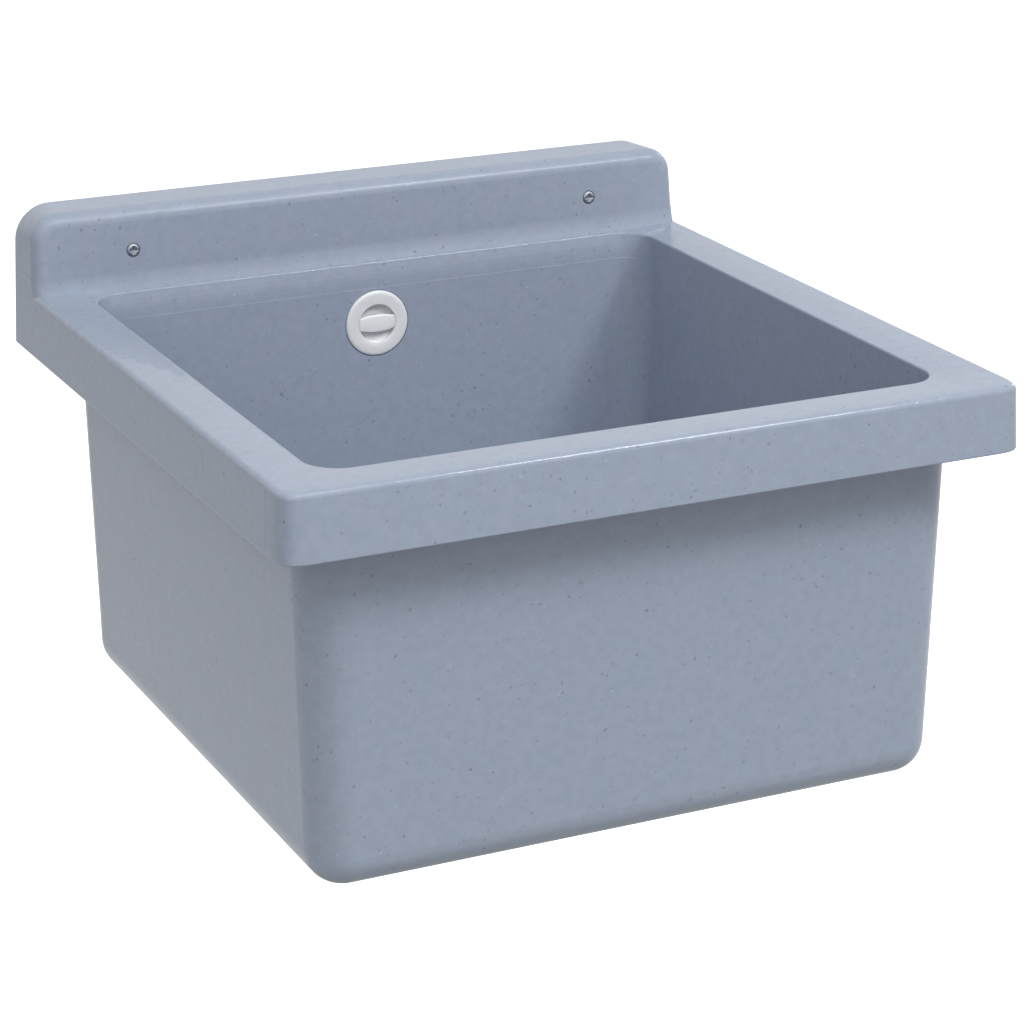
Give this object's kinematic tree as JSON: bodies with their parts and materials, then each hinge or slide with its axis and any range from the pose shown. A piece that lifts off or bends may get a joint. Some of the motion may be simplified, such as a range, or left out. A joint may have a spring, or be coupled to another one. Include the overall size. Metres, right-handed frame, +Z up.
{
  "type": "wall-mounted utility sink",
  "caption": "Square wall-hung resin utility sink with low backsplash, turned-down rim, overflow with crossbar cover, and drain with lift-out strainer basket.",
  "frame": {"origin": "on the wall plane, midway between the two wall screws", "axes": "+X to the right seen from the front, +Y into the wall, +Z up"},
  "size_m": [0.4, 0.448, 0.3208],
  "materials": {
    "basin_resin": "speckled semi-gloss cast resin",
    "white_plastic": "white moulded plastic",
    "drain_plastic": "pale moulded plastic",
    "seal_rubber": "black rubber",
    "cup_steel": "brushed stainless steel",
    "screw_steel": "bright stainless steel",
    "insert_brass": "turned brass"
  },
  "bodies": {
    "sink": {"basin": "basin_resin", "wall_screws": "screw_steel", "overflow_rosette": "white_plastic", "overflow_front_seal": "seal_rubber", "overflow_rear_seal": "seal_rubber", "overflow_elbow": "white_plastic", "overflow_pipe": "white_plastic", "pipe_seals": "seal_rubber", "pipe_nut_upper": "white_plastic", "pipe_nut_lower": "white_plastic", "drain_cup": "cup_steel", "drain_cup_seal": "seal_rubber", "drain_body": "drain_plastic", "drain_body_seal": "seal_rubber", "drain_cross": "drain_plastic", "outlet_spigot": "drain_plastic", "drain_insert": "insert_brass", "drain_screw": "screw_steel"},
    "basket": {"strainer_basket": "cup_steel", "stopper_seal": "seal_rubber", "stopper_plate": "cup_steel", "stopper_nut": "screw_steel", "basket_post": "screw_steel", "basket_knob": "cup_steel"}
  },
  "joints": [
    {"name": "basket_lift", "type": "slide", "parent": "sink", "child": "basket", "axis": [0, 0, 1], "range_m": [0, 0.26]}
  ]
}
